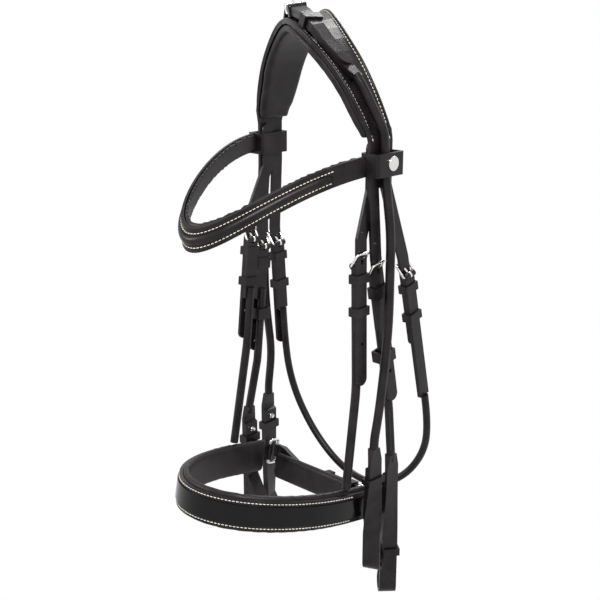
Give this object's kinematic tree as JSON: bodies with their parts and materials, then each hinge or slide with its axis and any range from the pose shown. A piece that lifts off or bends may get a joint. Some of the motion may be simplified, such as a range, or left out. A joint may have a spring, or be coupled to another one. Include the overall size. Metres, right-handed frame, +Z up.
{
  "type": "bridle headstall",
  "caption": "Padded leather double bridle with browband, noseband with a glossy strip, throatlash and looped cheekpieces for bits.",
  "frame": {"origin": "underside of the headpiece's padding at the poll", "axes": "+Z up, +X to the horse's left (near) side, -Y to the front of the face"},
  "size_m": [0.211, 0.2618, 0.6125],
  "materials": {
    "leather": "very dark brown bridle leather, satin, stitched edges",
    "padding": "soft dark leather over padding",
    "patent": "black patent leather, high gloss",
    "steel": "polished stainless steel",
    "badge": "small polished metal stud, bare"
  },
  "bodies": {
    "headstall": {"cheek_buckle_left": "steel", "cheek_buckle_right": "steel", "cheek_left_bit_keeper": "leather", "cheek_left_hook_stud": "steel", "cheek_right_bit_keeper": "leather", "cheek_right_hook_stud": "steel", "cheekpiece_left": "leather", "cheekpiece_right": "leather", "chin_billet": "leather", "chin_buckle": "steel", "chin_pad": "padding", "chin_strap": "leather", "headpiece": "leather", "headpiece_padding": "padding", "noseband": "leather", "noseband_billet_left": "leather", "noseband_billet_right": "leather", "noseband_buckle_left": "steel", "noseband_buckle_right": "steel", "noseband_hanger_left": "leather", "noseband_hanger_right": "leather", "noseband_padding": "padding", "noseband_patent": "patent", "noseband_ring_left": "steel", "noseband_ring_right": "steel", "poll_buckle": "steel", "sliphead_left": "leather", "sliphead_left_bit_keeper": "leather", "sliphead_left_hook_stud": "steel", "sliphead_right": "leather", "sliphead_right_bit_keeper": "leather", "sliphead_right_hook_stud": "steel", "throat_buckle_left": "steel", "throat_buckle_right": "steel", "throat_strap_left": "leather", "throat_strap_right": "leather", "throatlash_roll": "leather"},
    "browband": {"browband": "leather", "browband_padding": "padding", "browband_badge": "badge"},
    "cheek_tongue_left": {"cheek_tongue_left": "steel"},
    "cheek_tongue_right": {"cheek_tongue_right": "steel"},
    "noseband_tongue_left": {"noseband_tongue_left": "steel"},
    "noseband_tongue_right": {"noseband_tongue_right": "steel"},
    "throat_tongue_left": {"throat_tongue_left": "steel"},
    "throat_tongue_right": {"throat_tongue_right": "steel"},
    "poll_tongue": {"poll_tongue": "steel"},
    "chin_tongue": {"chin_tongue": "steel"},
    "cheek_keeper_left": {"cheek_keeper_left": "leather"},
    "cheek_keeper_right": {"cheek_keeper_right": "leather"},
    "noseband_keeper_left": {"noseband_keeper_left": "leather"},
    "noseband_keeper_right": {"noseband_keeper_right": "leather"},
    "throat_keeper_left": {"throat_keeper_left": "leather"},
    "throat_keeper_right": {"throat_keeper_right": "leather"},
    "poll_keeper": {"poll_keeper": "leather"},
    "chin_keeper": {"chin_keeper": "leather"}
  },
  "joints": [
    {"name": "browband_slide", "type": "slide", "parent": "headstall", "child": "browband", "axis": [0, 0, 1], "range_m": [-0.008, 0.008]},
    {"name": "cheek_tongue_left_hinge", "type": "hinge", "parent": "headstall", "child": "cheek_tongue_left", "pos_m": [0.083, -0.01, -0.227], "axis": [0, 0.9789, 0.2045], "range_deg": [0, 12]},
    {"name": "cheek_tongue_right_hinge", "type": "hinge", "parent": "headstall", "child": "cheek_tongue_right", "pos_m": [-0.083, 0.006, -0.23], "axis": [0, -0.9945, 0.1045], "range_deg": [0, 12]},
    {"name": "noseband_tongue_left_hinge", "type": "hinge", "parent": "headstall", "child": "noseband_tongue_left", "pos_m": [0.0796, -0.0314, -0.215], "axis": [0, 0.9996, 0.0279], "range_deg": [0, 12]},
    {"name": "noseband_tongue_right_hinge", "type": "hinge", "parent": "headstall", "child": "noseband_tongue_right", "pos_m": [-0.0796, -0.0143, -0.218], "axis": [0, -0.9945, 0.1045], "range_deg": [0, 12]},
    {"name": "throat_tongue_left_hinge", "type": "hinge", "parent": "headstall", "child": "throat_tongue_left", "pos_m": [0.0934, 0.03321, -0.23487], "axis": [0, -0.9726, -0.2326], "range_deg": [0, 12]},
    {"name": "throat_tongue_right_hinge", "type": "hinge", "parent": "headstall", "child": "throat_tongue_right", "pos_m": [-0.083, 0.02925, -0.23019], "axis": [0, -0.9975, -0.0704], "range_deg": [0, 12]},
    {"name": "poll_tongue_hinge", "type": "hinge", "parent": "headstall", "child": "poll_tongue", "pos_m": [-0.01698, -0.01283, 0.01566], "axis": [0.6256, 0.7648, 0.1538], "range_deg": [0, 12]},
    {"name": "chin_tongue_hinge", "type": "hinge", "parent": "headstall", "child": "chin_tongue", "pos_m": [0.04, 0.02471, -0.48955], "axis": [0, 0.1961, 0.9806], "range_deg": [0, 12]},
    {"name": "cheek_keeper_left_slide", "type": "slide", "parent": "headstall", "child": "cheek_keeper_left", "axis": [0, -0.2045, 0.9789], "range_m": [-0.008, 0.008]},
    {"name": "cheek_keeper_right_slide", "type": "slide", "parent": "headstall", "child": "cheek_keeper_right", "axis": [0, 0.1045, 0.9945], "range_m": [-0.008, 0.006]},
    {"name": "noseband_keeper_left_slide", "type": "slide", "parent": "headstall", "child": "noseband_keeper_left", "axis": [0, -0.0279, 0.9996], "range_m": [-0.001, 0.012]},
    {"name": "noseband_keeper_right_slide", "type": "slide", "parent": "headstall", "child": "noseband_keeper_right", "axis": [0, 0.1045, 0.9945], "range_m": [-0.001, 0.012]},
    {"name": "throat_keeper_left_slide", "type": "slide", "parent": "headstall", "child": "throat_keeper_left", "axis": [0, -0.2326, 0.9726], "range_m": [-0.008, 0.008]},
    {"name": "throat_keeper_right_slide", "type": "slide", "parent": "headstall", "child": "throat_keeper_right", "axis": [0, -0.0704, 0.9975], "range_m": [-0.008, 0.008]},
    {"name": "poll_keeper_slide", "type": "slide", "parent": "headstall", "child": "poll_keeper", "axis": [-0.8519, 0.2987, 0.4302], "range_m": [-0.003, 0.003]},
    {"name": "chin_keeper_slide", "type": "slide", "parent": "headstall", "child": "chin_keeper", "axis": [1, 0, 0], "range_m": [-0.008, 0.008]}
  ]
}
